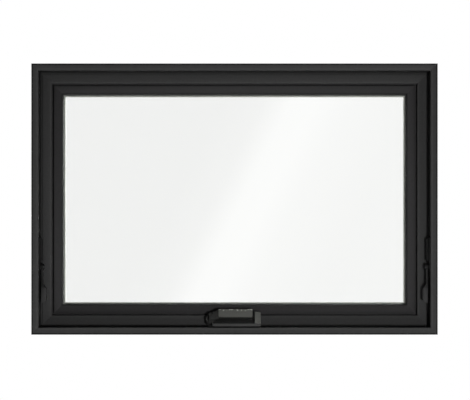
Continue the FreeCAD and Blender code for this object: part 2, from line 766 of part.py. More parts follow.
def lock_paddle():
    """Finger paddle with a sloping shoulder and a sloping foot."""
    back_x = lock_x(LEVER_BACK_U)
    inner_x = lock_x(LEVER_BACK_U + PADDLE_WIDTH)
    paddle_y = LOCK_PIVOT_Y - PADDLE_DEPTH / 2.0
    paddle = prism(
        [
            vec(back_x, paddle_y, PADDLE_LOW),
            vec(inner_x, paddle_y, PADDLE_LOW + PADDLE_FOOT_HEIGHT),
            vec(inner_x, paddle_y, PADDLE_HIGH - PADDLE_SHOULDER_HEIGHT),
            vec(inner_x + PADDLE_SHOULDER_WIDTH, paddle_y, PADDLE_HIGH),
            vec(back_x, paddle_y, PADDLE_HIGH),
        ],
        vec(0, PADDLE_DEPTH, 0),
    )

    def inner_corner(middle):
        return abs(middle.x - inner_x) < TOUCH

    return paddle.makeFillet(PADDLE_RADIUS, edges_along(paddle, Y_AXIS, inner_corner))


def lock_lever():
    """Lever that hangs from its hub: a tapering stem with a paddle at its end."""
    hub_start = vec(lock_x(LEVER_BACK_U), LOCK_PIVOT_Y, LOCK_PIVOT_HEIGHT)
    hub = Part.makeCylinder(LEVER_HUB_RADIUS, LEVER_HUB_THICKNESS, hub_start, INWARD)
    stem_back = lock_x(LEVER_BACK_U)
    top_half = LEVER_STEM_WIDTH / 2.0
    end_half = LEVER_STEM_END_WIDTH / 2.0
    middle_z = (PADDLE_LOW + PADDLE_HIGH) / 2.0
    stem = prism(
        [
            vec(stem_back, LOCK_PIVOT_Y - top_half, LOCK_PIVOT_HEIGHT),
            vec(stem_back, LOCK_PIVOT_Y + top_half, LOCK_PIVOT_HEIGHT),
            vec(stem_back, LOCK_PIVOT_Y + end_half, middle_z),
            vec(stem_back, LOCK_PIVOT_Y - end_half, middle_z),
        ],
        vec(-LEVER_THICKNESS, 0, 0),
    )
    paddle = lock_paddle()
    bore_start = vec(lock_x(WALL), LOCK_PIVOT_Y, LOCK_PIVOT_HEIGHT)
    bore = Part.makeCylinder(LOCK_PIN_RADIUS + PIN_CLEARANCE, 2.0 * WALL, bore_start, INWARD)
    return hub.fuse(stem).fuse(paddle).removeSplitter().cut(bore)


# The hinges, also drawn for the right side.

HINGE_Y = (SASH_SEAT_Y + FLANGE_Y) / 2.0
TRACK_HIGH = FRAME_HEIGHT - WALL - TRACK_END_CLEARANCE


def hinge_track():
    """Folded steel track screwed to the jamb, open towards the sash."""
    half = TRACK_WIDTH / 2.0
    outline = [
        vec(lock_x(WALL), HINGE_Y - half, TRACK_LOW),
        vec(lock_x(WALL), HINGE_Y + half, TRACK_LOW),
        vec(lock_x(WALL + TRACK_LIP), HINGE_Y + half, TRACK_LOW),
        vec(lock_x(WALL + TRACK_LIP), HINGE_Y + half - TRACK_SHEET, TRACK_LOW),
        vec(lock_x(WALL + TRACK_SHEET), HINGE_Y + half - TRACK_SHEET, TRACK_LOW),
        vec(lock_x(WALL + TRACK_SHEET), HINGE_Y - half + TRACK_SHEET, TRACK_LOW),
        vec(lock_x(WALL + TRACK_LIP), HINGE_Y - half + TRACK_SHEET, TRACK_LOW),
        vec(lock_x(WALL + TRACK_LIP), HINGE_Y - half, TRACK_LOW),
    ]
    return prism(outline, vec(0, 0, TRACK_HIGH - TRACK_LOW))


def strap(u_low, z_low, z_high):
    """A flat steel bar with round ends, its pivots at the two heights given."""
    radius = HINGE_STRAP_WIDTH / 2.0
    box_start = vec(lock_x(u_low + HINGE_STRAP_THICKNESS), HINGE_Y - radius, z_low)
    bar = Part.makeBox(HINGE_STRAP_THICKNESS, HINGE_STRAP_WIDTH, z_high - z_low, box_start)
    for z in (z_low, z_high):
        start = vec(lock_x(u_low), HINGE_Y, z)
        bar = bar.fuse(Part.makeCylinder(radius, HINGE_STRAP_THICKNESS, start, INWARD))
    return bar.removeSplitter()


LINK_U = WALL + TRACK_LIP + HINGE_LINK_GAP
SASH_ARM_U = SASH_SIDE_U - HINGE_STRAP_THICKNESS
LINK_LOW_Z = TRACK_LOW + HINGE_PIVOT_RISE


def hinge_link():
    """Link from a fixed rivet in the track to the middle of the sash arm."""
    link = strap(LINK_U, LINK_LOW_Z, LINK_LOW_Z + HINGE_LINK_LENGTH)
    foot = vec(lock_x(WALL + TRACK_SHEET), HINGE_Y, LINK_LOW_Z)
    length = LINK_U - WALL - TRACK_SHEET
    rivet = Part.makeCylinder(HINGE_PIN_RADIUS, length, foot, INWARD)
    return link.fuse(rivet).removeSplitter()


def hinge_arm():
    """Arm on the sash stile; a rivet joins it to the link, and a stud runs in the track."""
    top_z = TRACK_HIGH - HINGE_PIVOT_RISE
    arm = strap(SASH_ARM_U, LINK_LOW_Z, top_z)
    link_top = vec(lock_x(LINK_U + HINGE_STRAP_THICKNESS), HINGE_Y, LINK_LOW_Z + HINGE_LINK_LENGTH)
    rivet_length = SASH_ARM_U - LINK_U - HINGE_STRAP_THICKNESS
    rivet = Part.makeCylinder(HINGE_PIN_RADIUS, rivet_length, link_top, INWARD)
    stud_start = vec(lock_x(WALL + TRACK_SHEET), HINGE_Y, top_z)
    stud_length = SASH_ARM_U - WALL - TRACK_SHEET
    stud = Part.makeCylinder(HINGE_PIN_RADIUS, stud_length, stud_start, INWARD)
    return arm.fuse(rivet).fuse(stud).removeSplitter()


def both_sides(name, shape):
    """The right-hand piece and its mirror image on the left."""
    mirrored = shape.mirror(vec(0, 0, 0), X_AXIS)
    return {name + "_right": shape, name + "_left": mirrored}


def build():
    """Every node of the window, by name."""
    nodes = {}
    nodes.update(frame_wall())
    nodes.update(frame_stop())
    nodes.update(weatherstrip())
    nodes.update(sash())
    nodes["glass_inner"] = pane(GLASS_Y)
    nodes["glass_outer"] = pane(OUTER_PANE_Y)
    nodes.update(spacers())
    nodes.update(beads())
    nodes["operator_cover"] = operator_cover()
    nodes["crank_catch"] = crank_catch()
    nodes["crank_spindle"] = crank_spindle()
    nodes["crank_hub"] = crank_hub()
    nodes["crank_pin"] = crank_pin()
    nodes["crank_arm"] = crank_arm()
    nodes["crank_grip"] = crank_grip()
    nodes.update(both_sides("lock_base", lock_base()))
    nodes.update(both_sides("lock_pin", lock_pin()))
    nodes.update(both_sides("lock_lever", lock_lever()))
    nodes.update(both_sides("hinge_track", hinge_track()))
    nodes.update(both_sides("hinge_link", hinge_link()))
    nodes.update(both_sides("hinge_arm", hinge_arm()))
    return nodes


def single_solid(shape):
    """The one solid of a shape, so that each file holds a plain solid."""
    if len(shape.Solids) != 1:
        return shape
    return shape.Solids[0]


os.makedirs("parts", exist_ok=True)
for node, shape in build().items():
    solid = single_solid(shape)
    solid.exportStep("parts/" + node + ".step")
    print(node, len(shape.Solids), round(shape.Volume), shape.isValid())
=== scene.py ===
import json
import math
import random

import bmesh
import bpy
from mathutils import Matrix, Vector


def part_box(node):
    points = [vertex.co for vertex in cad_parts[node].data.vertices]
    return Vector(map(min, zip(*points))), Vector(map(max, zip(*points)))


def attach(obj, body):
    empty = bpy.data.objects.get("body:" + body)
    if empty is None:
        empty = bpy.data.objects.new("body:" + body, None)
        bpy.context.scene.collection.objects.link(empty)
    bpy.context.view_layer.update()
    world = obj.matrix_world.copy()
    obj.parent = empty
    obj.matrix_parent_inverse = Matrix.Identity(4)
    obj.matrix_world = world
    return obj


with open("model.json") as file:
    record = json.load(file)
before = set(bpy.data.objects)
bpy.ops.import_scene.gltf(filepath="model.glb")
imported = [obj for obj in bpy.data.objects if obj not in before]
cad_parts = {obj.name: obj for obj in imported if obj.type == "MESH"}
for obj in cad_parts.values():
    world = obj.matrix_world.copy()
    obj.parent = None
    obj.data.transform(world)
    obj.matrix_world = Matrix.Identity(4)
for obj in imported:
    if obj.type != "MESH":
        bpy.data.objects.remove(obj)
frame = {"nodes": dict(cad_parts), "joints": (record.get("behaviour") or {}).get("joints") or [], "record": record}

random.seed(11)
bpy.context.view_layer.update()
MM = 0.001

# The photograph's frame, and where the window's outer edges lie in it, in pixels
PHOTO_WIDTH_PX = 470
PHOTO_HEIGHT_PX = 400
WINDOW_LEFT_PX = 31.2
WINDOW_RIGHT_PX = 437.8
WINDOW_BOTTOM_PX = 334.75

# Camera: distance from the window's room face, height above its sill, film width and reach
CAMERA_DISTANCE = 3.3
CAMERA_HEIGHT = 0.24
SENSOR_WIDTH_MM = 36.0
CLIP_END = 50.0

# Rounding of the arrises, the sharpest turn that it leaves alone, and how close two
# vertices lie that are one, on the solids and on the small pieces
EDGE_BEVEL = 0.35 * MM
BEVEL_SEGMENTS = 2
BEVEL_ABOVE_DEGREES = 32
SAME_POINT = 1e-6
SAME_SMALL_POINT = 1e-7

# How far a thin strip is tucked into its corner, and how far it stays off the glass
TUCKED_IN = 0.6 * MM
OFF_THE_GLASS = 0.05 * MM

# Sealant on the room side of the glass: its depth, its foot on the glass, its step in from
# the sash, and its knee's shares of depth and foot
SEALANT_DEPTH = 7.0 * MM
SEALANT_FOOT = 1.5 * MM
SEALANT_STEP = 0.05 * MM
SEALANT_KNEE_DEPTH = 0.35
SEALANT_KNEE_OUT = 0.25

# Shares of red, green and blue that the glass lets through, with an opaque alpha. Its
# trace of green is finer than a step of a hex colour, so it is given as it is.
GLASS_SHARES = (0.996, 1.0, 0.994, 1.0)

# Rubber lip on the weather side of the glass
GASKET_LIP = 0.5 * MM
GASKET_PROUD = 0.6 * MM

# Drain slots in the sill's weather face, as the solids have them, and their louvres
WEEP_FROM_END = 120.0 * MM
WEEP_RISE = 6.0 * MM
WEEP_HEIGHT = 5.0 * MM
LOUVRE_HALF_LENGTH = 12.4 * MM
LOUVRE_INNER = 3.2 * MM
LOUVRE_OUTER = 0.4 * MM
LOUVRE_FALL = 1.0 * MM
LOUVRE_THICKNESS = 0.45 * MM
LOUVRE_COUNT = 3

# Heads of screws and rivets: radius and height, and how far up its base a lock's screws lie
JAMB_SCREW = (4.2 * MM, 2.0 * MM)
LOCK_SCREW = (2.6 * MM, 0.9 * MM)
HINGE_RIVET = (3.4 * MM, 1.3 * MM)
LOCK_SCREW_SHARES = (0.52, 0.86)

# Grain of the composite, drawn coarser than the real one so that it shows: spacing of its
# fibres and of its larger specks, the tones that each gives it, and its roughness
FIBRE_SPACING_MM = 0.7
FIBRE_TONES = (0.86, 1.14)
SPECK_SPACING_MM = 5.0
SPECK_TONES = (0.92, 1.08)
COMPOSITE_ROUGHNESS = (0.68, 0.84)

# Painted shade on the wall of the frame: how far behind the room face it starts and is
# full, and the insets, in mm, between which the room face gives way to it
WALL_SHADE_FROM = 1.5 * MM
WALL_SHADE_TO = 6.0 * MM
WALL_SHADE_INSETS_MM = (8.0, 9.0)

# Painted shade in the folded crank's tray: how deep below the cover's face it starts, where
# it is darkest, and the share of the colour that is left there
TRAY_SHADE_FROM = 2.0 * MM
TRAY_SHADE_TO = 10.0 * MM
TRAY_COLOUR_LEFT = 0.16

# Paler speckled patches on the tray's floor, where its painted shade lifts: how far down the
# slope from the crank's hinge pin they start and are full, how far beside the pin, their size,
# and how pale they are
TRAY_PATCH_FROM = 7.2 * MM
TRAY_PATCH_TO = 8.6 * MM
TRAY_PATCH_BESIDE_FROM = 5.0 * MM
TRAY_PATCH_BESIDE_TO = 9.0 * MM
TRAY_PATCH_MM = 3.5
TRAY_PATCH_PALENESS = (0.25, 0.75)

# Painted contact shade along the cover's foot: the heights between which it thins out, and
# the colour that is left, as (share of the way up, share of the colour)
FOOT_SHADE_FROM = 19.6 * MM
FOOT_SHADE_TO = 27.6 * MM
FOOT_COLOUR_LEFT = [(0.0, 0.05), (0.12, 0.78), (0.70, 0.80), (0.90, 1.0)]

# Painted highlight specks on the crank's grip: the heights at which they start and are
# full, their spacing, and the part of the grain that shows them
GRIP_HIGHLIGHT_FROM = 52.4 * MM
GRIP_HIGHLIGHT_TO = 53.2 * MM
GRIP_HIGHLIGHT_SPACING_MM = 4.5
GRIP_HIGHLIGHT_SPAN = (0.60, 0.66)

# Painted shade along the grip's lower edge: the heights between which it ends, the pitch and
# depth of the notches in its upper limit, and the share of the colour left under it
GRIP_SHADE_FROM = 39.3 * MM
GRIP_SHADE_TO = 40.1 * MM
GRIP_NOTCH_PITCH = 5.0 * MM
GRIP_NOTCH_DEPTH = 0.7 * MM
GRIP_COLOUR_LEFT = 0.1

# Painted shade on a lock lever's stem: the shares of the lever's length, from its tip, between
# which the paddle ends, and the share of its colour that the stem above it has
PADDLE_FROM = 0.36
PADDLE_TO = 0.44
STEM_SHADE_SHARE = 0.35

# Rubbed edges: the cosine between rounded and flat normal for full wear and for none,
# the part of the grain that shows it, how much of the worn colour shows, and the samples
EDGE_WEAR_COSINES = (0.82, 0.985)
EDGE_PATCH_SPAN = (0.50, 0.58)
EDGE_WEAR = 0.9
EDGE_SAMPLES = 6

# Grain: most values of a fine one lie in the first span, those of a soft cloud in the
# second, and a finish's cloud is so many times as wide as its grain
FINE_SPAN = (0.3, 0.7)
CLOUD_SPAN = (0.35, 0.65)
CLOUD_SPACINGS = 60.0
GRAIN_ROUGHNESS = 0.6
RELIEF_DEPTH = 0.2 * MM
MM_PER_METRE = 1000.0


def box_union(names):
    """Lowest and highest corner of several nodes together."""
    corners = [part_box(name) for name in names]
    low = Vector([min(c[0][i] for c in corners) for i in range(3)])
    high = Vector([max(c[1][i] for c in corners) for i in range(3)])
    return low, high


frame_low, frame_high = box_union(["frame_sill", "frame_head", "frame_jamb_left", "frame_jamb_right"])
FRAME_WIDTH = frame_high.x - frame_low.x
FRAME_HEIGHT = frame_high.z - frame_low.z
MIDDLE = Vector((0.0, 0.0, frame_low.z + FRAME_HEIGHT / 2.0))
SIGHT_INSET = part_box("sash_stile_left")[1].x - frame_low.x
WALL_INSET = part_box("frame_jamb_left")[1].x - frame_low.x
ROOM_Y = frame_low.y


# Materials

def linear(hex_colour):
    """An sRGB colour such as #2b2b2b as the linear values that the shader takes."""
    values = []
    for start in (1, 3, 5):
        share = int(hex_colour[start:start + 2], 16) / 255.0
        values.append(share / 12.92 if share <= 0.04045 else ((share + 0.055) / 1.055) ** 2.4)
    return (values[0], values[1], values[2], 1.0)


def grey(level):
    """A neutral colour of the level, which is linear already."""
    return (level, level, level, 1.0)


def add(tree, kind, links=None, values=None, stops=None, **settings):
    """One node: its settings, unlinked inputs, links from other outputs and colour stops."""
    node = tree.nodes.new("ShaderNode" + kind)
    for name, value in settings.items():
        setattr(node, name, value)
    for name, value in (values or {}).items():
        node.inputs[name].default_value = value
    for name, output in (links or {}).items():
        tree.links.new(output, node.inputs[name])
    if stops:
        elements = node.color_ramp.elements
        elements[0].position = stops[0][0]
        elements[0].color = stops[0][1]
        elements[1].position = stops[-1][0]
        elements[1].color = stops[-1][1]
        for position, colour in stops[1:-1]:
            elements.new(position).color = colour
    return node


def new_finish(name):
    """An empty material and its tree, with a principled shader wired to the output."""
    material = bpy.data.materials.new(name)
    material.use_nodes = True
    tree = material.node_tree
    tree.nodes.clear()
    shader = add(tree, "BsdfPrincipled")
    add(tree, "OutputMaterial", {"Surface": shader.outputs["BSDF"]})
    return material, tree, shader


def surface_grain(tree, spacing_mm, detail=3.0):
    """Even grain over the piece, with about one bump for each spacing."""
    place = add(tree, "TexCoord")
    noise = add(
        tree,
        "TexNoise",
        {"Vector": place.outputs["Object"]},
        {"Scale": MM_PER_METRE / spacing_mm, "Detail": detail, "Roughness": GRAIN_ROUGHNESS},
    )
    return noise.outputs["Fac"]


def dressed(tree, shader, colour, gloss, grain, bump):
    """Wire colour and gloss to the shader, and raise its surface by the grain."""
    relief = add(tree, "Bump", {"Height": grain}, {"Strength": bump, "Distance": RELIEF_DEPTH})
    tree.links.new(colour, shader.inputs["Base Color"])
    tree.links.new(gloss, shader.inputs["Roughness"])
    tree.links.new(relief.outputs["Normal"], shader.inputs["Normal"])


def keep_share(tree, shader, share):
    """Scale a finish's colour by the share: below 1 darkens it."""
    coat = shader.inputs["Base Color"].links[0].from_socket
    kept = add(tree, "VectorMath", {0: coat, "Scale": share}, operation="SCALE")
    tree.links.new(kept.outputs[0], shader.inputs["Base Color"])


def wear_and_highlight_through(tree, shader, worn, share):
    """Let a worn colour, and on the grip a painted highlight colour, show through a finish by the share."""
    coat = shader.inputs["Base Color"].links[0].from_socket
    mix = add(tree, "Mix", {"Factor": share, 6: coat}, {7: linear(worn)}, data_type="RGBA")
    tree.links.new(mix.outputs[2], shader.inputs["Base Color"])


def grained_finish(name, dark, light, spacing_mm, bump, rough_low, rough_high, ior, specular=0.35):
    """A surface whose colour, gloss and height all follow one fine grain."""
    material, tree, shader = new_finish(name)
    fine = surface_grain(tree, spacing_mm)
    cloud = surface_grain(tree, CLOUD_SPACINGS * spacing_mm, detail=2.0)
    both = add(tree, "Math", {0: fine, 1: cloud}, operation="ADD")
    half = add(tree, "Math", {0: both.outputs[0]}, {1: 0.5}, operation="MULTIPLY")
    tone = add(tree, "ValToRGB", {"Fac": half.outputs[0]},
               stops=[(CLOUD_SPAN[0], linear(dark)), (CLOUD_SPAN[1], linear(light))])
    gloss = add(tree, "ValToRGB", {"Fac": fine},
                stops=[(FINE_SPAN[0], grey(rough_low)), (FINE_SPAN[1], grey(rough_high))])
    dressed(tree, shader, tone.outputs["Color"], gloss.outputs["Color"], fine, bump)
    shader.inputs["IOR"].default_value = ior
    shader.inputs["Specular IOR Level"].default_value = specular
    return material, tree, shader


def rub_edges(tree, shader, worn, width_mm, patch_mm):
    """Lighter, broken specks where the coat is rubbed along the edges."""
    rounded = add(tree, "Bevel", None, {"Radius": width_mm * MM}, samples=EDGE_SAMPLES)
    flat = add(tree, "NewGeometry")
    facing = add(
        tree,
        "VectorMath",
        {0: rounded.outputs["Normal"], 1: flat.outputs["Normal"]},
        operation="DOT_PRODUCT",
    )
    edge = add(tree, "ValToRGB", {"Fac": facing.outputs["Value"]},
               stops=[(EDGE_WEAR_COSINES[0], grey(1.0)), (EDGE_WEAR_COSINES[1], grey(0.0))])
    patch = add(tree, "ValToRGB", {"Fac": surface_grain(tree, patch_mm, detail=2.0)},
                stops=[(EDGE_PATCH_SPAN[0], grey(0.0)), (EDGE_PATCH_SPAN[1], grey(EDGE_WEAR))])
    rubbed = add(tree, "Math", {0: edge.outputs["Color"], 1: patch.outputs["Color"]},
                 operation="MULTIPLY")
    wear_and_highlight_through(tree, shader, worn, rubbed.outputs[0])


def inset_mm(tree, place):
    """How far in from the window's outer edge a point lies, in millimetres."""
    centred = add(tree, "VectorMath", {0: place}, {1: MIDDLE}, operation="SUBTRACT")
    mirrored = add(tree, "VectorMath", {0: centred.outputs[0]}, operation="ABSOLUTE")
    axes = add(tree, "SeparateXYZ", {"Vector": mirrored.outputs[0]})
    from_side = add(tree, "Math", {1: axes.outputs["X"]}, {0: FRAME_WIDTH / 2.0}, operation="SUBTRACT")
    from_end = add(tree, "Math", {1: axes.outputs["Z"]}, {0: FRAME_HEIGHT / 2.0}, operation="SUBTRACT")
    nearest = add(tree, "Math", {0: from_side.outputs[0], 1: from_end.outputs[0]}, operation="MINIMUM")
    inset = add(tree, "Math", {0: nearest.outputs[0]}, {1: MM_PER_METRE}, operation="MULTIPLY")
    return inset.outputs[0]


def extruded_composite(name, painted_light_tones, wall_shade_share=1.0):
    """Black wood-fibre composite, extruded through a die and mitre welded.

    Each face carries painted light and shade across its width, given as (inset in mm,
    colour). The grain is dull and even, with faint larger specks. The wall, behind its room
    face, carries painted shade that leaves only the wall's share of the colour.
    """
    material, tree, shader = new_finish(name)
    place = add(tree, "TexCoord").outputs["Object"]
    inset = inset_mm(tree, place)
    # Painted light and shade across each face's width, by the inset
    widest = painted_light_tones[-1][0]
    share = add(tree, "MapRange", {"Value": inset}, {"From Max": widest})
    across = add(tree, "ValToRGB", {"Fac": share.outputs["Result"]},
                 stops=[(at / widest, linear(tone)) for at, tone in painted_light_tones])
    fine = surface_grain(tree, FIBRE_SPACING_MM)
    fibre = add(tree, "MapRange", {"Value": fine},
                {"From Min": FINE_SPAN[0], "From Max": FINE_SPAN[1],
                 "To Min": FIBRE_TONES[0], "To Max": FIBRE_TONES[1]})
    specks = add(tree, "MapRange", {"Value": surface_grain(tree, SPECK_SPACING_MM)},
                 {"From Min": CLOUD_SPAN[0], "From Max": CLOUD_SPAN[1],
                  "To Min": SPECK_TONES[0], "To Max": SPECK_TONES[1]})
    # Painted shade on the wall behind the room face, by its depth and inset
    depth = add(tree, "SeparateXYZ", {"Vector": place}).outputs["Y"]
    behind = add(tree, "MapRange", {"Value": depth},
                 {"From Min": ROOM_Y + WALL_SHADE_FROM, "From Max": ROOM_Y + WALL_SHADE_TO,
                  "To Min": 0.0, "To Max": 1.0 - wall_shade_share})
    inside = add(tree, "MapRange", {"Value": inset},
                 {"From Min": WALL_SHADE_INSETS_MM[0], "From Max": WALL_SHADE_INSETS_MM[1]})
    shade = add(tree, "Math", {0: behind.outputs["Result"], 1: inside.outputs["Result"]},
                operation="MULTIPLY")
    lit = add(tree, "Math", {1: shade.outputs[0]}, {0: 1.0}, operation="SUBTRACT")
    gloss = add(tree, "MapRange", {"Value": fine},
                {"From Min": FINE_SPAN[0], "From Max": FINE_SPAN[1],
                 "To Min": COMPOSITE_ROUGHNESS[0], "To Max": COMPOSITE_ROUGHNESS[1]})
    dressed(tree, shader, across.outputs["Color"], gloss.outputs["Result"], fine, bump=0.35)
    for factor in (fibre.outputs["Result"], specks.outputs["Result"], lit.outputs[0]):
        keep_share(tree, shader, factor)
    shader.inputs["IOR"].default_value = 1.5
    shader.inputs["Specular IOR Level"].default_value = 0.35
    return material


def extruded_pvc():
    """Co-extruded black PVC of the glazing beads: smoother and a little glossier."""
    return grained_finish("extruded_black_pvc", "#272727", "#2e2e2e", spacing_mm=1.4, bump=0.10,
                          rough_low=0.38, rough_high=0.48, ior=1.53)[0]


def extruded_rubber():
    """Extruded EPDM rubber: deep black, soft sheen from its waxy bloom."""
    return grained_finish("extruded_epdm_rubber", "#141414", "#1c1c1c", spacing_mm=0.9, bump=0.2,
                          rough_low=0.55, rough_high=0.75, ior=1.52)[0]


def moulded_abs():
    """Moulded ABS of the operator cover, with a spark-eroded mould's even satin grain.

    The grain is drawn coarser than the real one, which is too fine to show. The floor of
    the crank's tray carries painted shade, so it is nearly black, with paler speckled
    patches along its foot where that painted shade lifts. Painted contact shade runs along
    the joint where the cover stands on the sill.
    """
    material, tree, shader = grained_finish(
        "moulded_satin_abs", "#2c2c2c", "#363635", spacing_mm=0.5, bump=0.30,
        rough_low=0.58, rough_high=0.72, ior=1.54)
    crank_joint = next(j for j in frame["joints"] if j["name"] == "crank_fold")
    down_slope = Vector(crank_joint["axis"])
    outward = down_slope.cross(Vector((1.0, 0.0, 0.0)))
    hinge_pin = Vector(crank_joint["pos_m"])
    cover = frame["nodes"]["operator_cover"]
    face = max(vertex.co.dot(outward) for vertex in cover.data.vertices)
    place = add(tree, "TexCoord").outputs["Object"]
    height = add(tree, "VectorMath", {0: place}, {1: outward}, operation="DOT_PRODUCT")
    # Painted shade on the tray's floor, darkest deep below the cover's face
    tray_shade_share = add(tree, "MapRange", {"Value": height.outputs["Value"]},
                 {"From Min": face - TRAY_SHADE_TO, "From Max": face - TRAY_SHADE_FROM,
                  "To Min": TRAY_COLOUR_LEFT, "To Max": 1.0})
    from_pin = add(tree, "VectorMath", {0: place}, {1: hinge_pin}, operation="SUBTRACT").outputs[0]
    along = add(tree, "VectorMath", {0: from_pin}, {1: down_slope}, operation="DOT_PRODUCT")
    # Paler speckled patches along the foot of the tray's floor, where the painted shade lifts
    foot = add(tree, "MapRange", {"Value": along.outputs["Value"]},
               {"From Min": TRAY_PATCH_FROM, "From Max": TRAY_PATCH_TO})
    beside = add(tree, "SeparateXYZ", {"Vector": from_pin}).outputs["X"]
    tray = add(tree, "MapRange", {"Value": beside},
               {"From Min": TRAY_PATCH_BESIDE_FROM, "From Max": TRAY_PATCH_BESIDE_TO})
    patch_paleness = add(tree, "MapRange", {"Value": surface_grain(tree, TRAY_PATCH_MM, detail=2.0)},
                  {"From Min": CLOUD_SPAN[0], "From Max": CLOUD_SPAN[1],
                   "To Min": TRAY_PATCH_PALENESS[0], "To Max": TRAY_PATCH_PALENESS[1]})
    patch_zone = add(tree, "Math", {0: foot.outputs["Result"], 1: tray.outputs["Result"]},
               operation="MULTIPLY")
    pale_patches = add(tree, "Math", {0: patch_zone.outputs[0], 1: patch_paleness.outputs["Result"]},
                operation="MULTIPLY")
    either = add(tree, "Math", {0: tray_shade_share.outputs["Result"], 1: pale_patches.outputs[0]},
                 operation="MAXIMUM")
    # Painted contact shade along the cover's foot
    level = add(tree, "SeparateXYZ", {"Vector": place}).outputs["Z"]
    above_foot = add(tree, "MapRange", {"Value": level},
                     {"From Min": frame_low.z + FOOT_SHADE_FROM,
                      "From Max": frame_low.z + FOOT_SHADE_TO})
    unshaded_share = add(tree, "ValToRGB", {"Fac": above_foot.outputs["Result"]},
                stops=[(at, grey(left)) for at, left in FOOT_COLOUR_LEFT])
    share = add(tree, "Math", {0: either.outputs[0], 1: unshaded_share.outputs["Color"]},
                operation="MULTIPLY")
    keep_share(tree, shader, share.outputs[0])
    return material


def powder_coat(name, dark, light, specular=0.35):
    """Die-cast zinc with a satin powder coat, which dries with a faint orange peel."""
    return grained_finish(name, dark, light, spacing_mm=1.1, bump=0.25, rough_low=0.56,
                          rough_high=0.68, ior=1.5, specular=specular)


def coated_zinc(name, dark, light, worn, wear_mm=0.9, patch_mm=3.0, specular=0.35):
    """Powder-coated zinc that is rubbed lighter along its edges."""
    material, tree, shader = powder_coat(name, dark, light, specular)
    rub_edges(tree, shader, worn, wear_mm, patch_mm)
    return material


def grip_coat():
    """Lighter powder coat of the crank's grip, rubbed along its edges, with painted highlight
    specks along its upper edge.

    Its lower edge, where fingers curl under it, carries painted shade.
    """
    material, tree, shader = powder_coat("powder_coated_zinc_grip", "#5e5f5b", "#696a66")
    rub_edges(tree, shader, "#9c9c96", width_mm=1.6, patch_mm=4.2)
    axes = add(tree, "SeparateXYZ", {"Vector": add(tree, "TexCoord").outputs["Object"]})
    level = axes.outputs["Z"]
    # Painted highlight specks along the grip's upper edge
    upper = add(tree, "MapRange", {"Value": level},
                {"From Min": frame_low.z + GRIP_HIGHLIGHT_FROM,
                 "From Max": frame_low.z + GRIP_HIGHLIGHT_TO})
    specks = add(tree, "MapRange",
                 {"Value": surface_grain(tree, GRIP_HIGHLIGHT_SPACING_MM, detail=0.0)},
                 {"From Min": GRIP_HIGHLIGHT_SPAN[0], "From Max": GRIP_HIGHLIGHT_SPAN[1]})
    # Mask of the painted highlight specks
    rubbed = add(tree, "Math", {0: upper.outputs["Result"], 1: specks.outputs["Result"]},
                 operation="MULTIPLY")
    wear_and_highlight_through(tree, shader, "#b9b9b2", rubbed.outputs[0])
    # Painted shade along the grip's lower edge, its upper limit notched at the ribs' pitch
    turns = add(tree, "Math", {0: axes.outputs["X"]}, {1: 2.0 * math.pi / GRIP_NOTCH_PITCH},
                operation="MULTIPLY")
    notches = add(tree, "Math", {0: turns.outputs[0]}, operation="SINE")
    notched = add(tree, "Math", {0: notches.outputs[0], 2: level}, {1: GRIP_NOTCH_DEPTH},
                  operation="MULTIPLY_ADD")
    unshaded_share = add(tree, "MapRange", {"Value": notched.outputs[0]},
                {"From Min": frame_low.z + GRIP_SHADE_FROM, "From Max": frame_low.z + GRIP_SHADE_TO,
                 "To Min": GRIP_COLOUR_LEFT, "To Max": 1.0})
    keep_share(tree, shader, unshaded_share.outputs["Result"])
    return material


def lever_coat():
    """Powder-coated zinc of the lock levers, rubbed along its edges, whose stems above the paddles carry painted
    shade.
    """
    material, tree, shader = powder_coat("powder_coated_zinc_lever", "#282828", "#303030",
                                         specular=0.22)
    low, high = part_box("lock_lever_left")
    length = high.z - low.z
    level = add(tree, "SeparateXYZ", {"Vector": add(tree, "TexCoord").outputs["Object"]}).outputs["Z"]
    # Painted shade on the stem above the paddle
    share = add(tree, "MapRange", {"Value": level},
                {"From Min": low.z + PADDLE_FROM * length, "From Max": low.z + PADDLE_TO * length,
                 "To Min": 1.0, "To Max": STEM_SHADE_SHARE})
    keep_share(tree, shader, share.outputs["Result"])
    rub_edges(tree, shader, "#4a4a48", width_mm=0.9, patch_mm=3.0)
    return material


def scored_metal(name, stretch, scoring_per_m, dark, light, rough_low, rough_high, metallic=1.0):
    """Bare metal whose colour and gloss follow fine scoring.

    A low stretch along one axis draws the scoring out that way, and an equal one leaves it
    as an even mottle. It is given as scores to the metre, so 2500 is one every 0.4 mm. That
    is coarser than the real one, which is too fine to show.
    """
    material, tree, shader = new_finish(name)
    place = add(tree, "TexCoord").outputs["Object"]
    drawn = add(tree, "Mapping", {"Vector": place}, {"Scale": stretch})
    score = add(tree, "TexNoise", {"Vector": drawn.outputs["Vector"]},
                {"Scale": scoring_per_m, "Detail": 3.0}).outputs["Fac"]
    tone = add(tree, "ValToRGB", {"Fac": score},
               stops=[(FINE_SPAN[0], linear(dark)), (FINE_SPAN[1], linear(light))])
    gloss = add(tree, "ValToRGB", {"Fac": score},
                stops=[(FINE_SPAN[0], grey(rough_low)), (FINE_SPAN[1], grey(rough_high))])
    dressed(tree, shader, tone.outputs["Color"], gloss.outputs["Color"], score, bump=0.08)
    shader.inputs["Metallic"].default_value = metallic
    return material


def turned_steel():
    """Zinc-plated steel of the rivets and spindle: turned and plated, so bright and mottled."""
    return scored_metal("turned_zinc_plated_steel", (1.0, 1.0, 1.0), 2500.0, "#8d8d8a", "#b2b1ac",
                        rough_low=0.25, rough_high=0.42)


def blackened_steel():
    """Black-oxide screws and pins: dark mottled metal with a thin oily sheen."""
    return scored_metal("black_oxide_steel", (1.0, 1.0, 1.0), 1250.0, "#1f1f20", "#37373a",
                        rough_low=0.34, rough_high=0.5, metallic=0.8)


